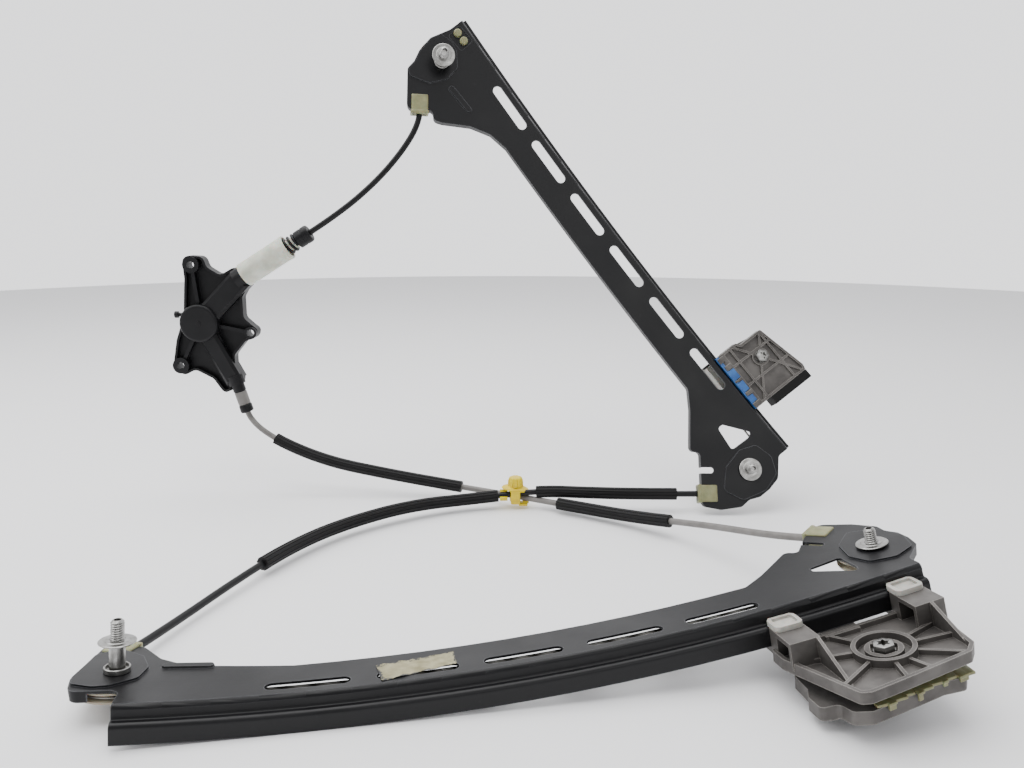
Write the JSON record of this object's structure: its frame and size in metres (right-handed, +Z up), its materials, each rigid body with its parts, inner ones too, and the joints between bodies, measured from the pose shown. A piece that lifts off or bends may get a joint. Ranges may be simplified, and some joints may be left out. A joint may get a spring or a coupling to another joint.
{
  "type": "window regulator",
  "caption": "Cable window regulator: curved guide rails with sliding glass-clamp carriages, pulleys, studs, a drum housing and flexible conduits joining them.",
  "frame": {"origin": "centre of the bounding box on the surface that the assembly lies on", "axes": "+Z up, +X to the viewer's right, +Y away from the viewer"},
  "size_m": [0.5547, 0.4322, 0.4063],
  "materials": {
    "coated_steel": "satin",
    "zinc_plate": "bright",
    "natural_nylon": "satin",
    "olive_nylon": "translucent",
    "die_cast": "as cast",
    "white_nylon": "satin",
    "blue_nylon": "satin",
    "seat_rubber": "matte",
    "black_plastic": "moulded",
    "clear_nylon": "satin",
    "grey_conduit": "satin",
    "black_conduit": "satin",
    "ribbed_rubber": "matte",
    "yellow_plastic": "moulded",
    "wire_rope": "bright"
  },
  "bodies": {
    "frame": {"cable_clip": "yellow_plastic", "cross_conduit": "black_conduit", "drum_housing": "black_plastic", "front_cable": "wire_rope", "front_lower_axle": "zinc_plate", "front_lower_ferrule": "olive_nylon", "front_lower_stud": "zinc_plate", "front_lower_washer": "zinc_plate", "front_rail": "coated_steel", "front_upper_axle": "zinc_plate", "front_upper_ferrule": "olive_nylon", "front_upper_stud": "zinc_plate", "front_upper_washer": "zinc_plate", "outlet_ferrule": "black_plastic", "rear_cable": "wire_rope", "rear_end_button_1": "olive_nylon", "rear_end_button_2": "olive_nylon", "rear_lower_axle": "zinc_plate", "rear_lower_ferrule": "olive_nylon", "rear_lower_stud": "zinc_plate", "rear_lower_washer": "zinc_plate", "rear_rail": "coated_steel", "rear_upper_axle": "zinc_plate", "rear_upper_ferrule": "olive_nylon", "rear_upper_stud": "zinc_plate", "rear_upper_washer": "zinc_plate", "return_conduit": "grey_conduit", "ribbed_sleeve_1": "ribbed_rubber", "ribbed_sleeve_2": "ribbed_rubber", "ribbed_sleeve_3": "ribbed_rubber", "ribbed_sleeve_4": "ribbed_rubber", "tension_bellows": "black_plastic", "tension_cap": "black_plastic", "tension_conduit": "black_conduit", "tension_sleeve": "clear_nylon"},
    "front_carriage": {"front_cable_nipple": "zinc_plate", "front_carriage": "die_cast", "front_clamp": "die_cast", "front_clamp_bolt": "zinc_plate", "front_clamp_nut": "zinc_plate", "front_glass_seat": "seat_rubber", "front_insert_1": "white_nylon", "front_insert_2": "white_nylon", "front_shoe_1": "white_nylon", "front_shoe_2": "white_nylon"},
    "rear_carriage": {"rear_cable_nipple": "zinc_plate", "rear_carriage": "die_cast", "rear_clamp": "die_cast", "rear_clamp_bolt": "zinc_plate", "rear_clamp_nut": "zinc_plate", "rear_glass_seat": "seat_rubber", "rear_shoe": "white_nylon", "rear_slider": "blue_nylon"},
    "front_upper_pulley": {"front_upper_pulley": "natural_nylon"},
    "front_lower_pulley": {"front_lower_pulley": "natural_nylon"},
    "rear_upper_pulley": {"rear_upper_pulley": "natural_nylon"},
    "rear_lower_pulley": {"rear_lower_pulley": "natural_nylon"},
    "cable_drum": {"cable_drum": "natural_nylon"}
  },
  "joints": [
    {"name": "front_carriage_travel", "type": "hinge", "parent": "frame", "child": "front_carriage", "pos_m": [-0.10576, -0.05478, 1.41044], "axis": [-0.1755, 0.9793, -0.1007], "range_deg": [0, 13.51]},
    {"name": "rear_carriage_travel", "type": "hinge", "parent": "frame", "child": "rear_carriage", "pos_m": [0.24451, -1.1609, 0.61671], "axis": [0.7916, 0.2417, 0.5611], "range_deg": [0, 13.51]},
    {"name": "front_upper_pulley_spin", "type": "hinge", "parent": "frame", "child": "front_upper_pulley", "pos_m": [-0.18337, -0.17567, 0.01274], "axis": [0.0508, 0.1112, 0.9925], "continuous": true},
    {"name": "front_lower_pulley_spin", "type": "hinge", "parent": "frame", "child": "front_lower_pulley", "pos_m": [0.23817, -0.09491, 0.04868], "axis": [-0.2495, 0.0547, 0.9668], "continuous": true},
    {"name": "rear_upper_pulley_spin", "type": "hinge", "parent": "frame", "child": "rear_upper_pulley", "pos_m": [-0.03912, 0.19286, 0.36953], "axis": [0.1816, -0.97, 0.1616], "continuous": true},
    {"name": "rear_lower_pulley_spin", "type": "hinge", "parent": "frame", "child": "rear_lower_pulley", "pos_m": [0.21998, 0.11738, 0.03385], "axis": [-0.0037, -0.9165, 0.4], "continuous": true},
    {"name": "drum_spin", "type": "hinge", "parent": "frame", "child": "cable_drum", "pos_m": [-0.25007, 0.17087, 0.15192], "axis": [0, -1, 0], "continuous": true}
  ],
  "couplings": [
    {"joint": "rear_carriage_travel", "follows": "front_carriage_travel", "ratio": 1},
    {"joint": "front_upper_pulley_spin", "follows": "front_carriage_travel", "ratio": -78.033},
    {"joint": "front_lower_pulley_spin", "follows": "front_carriage_travel", "ratio": -72.031},
    {"joint": "rear_upper_pulley_spin", "follows": "front_carriage_travel", "ratio": 78.033},
    {"joint": "rear_lower_pulley_spin", "follows": "front_carriage_travel", "ratio": 72.031},
    {"joint": "drum_spin", "follows": "front_carriage_travel", "ratio": 101.78}
  ]
}
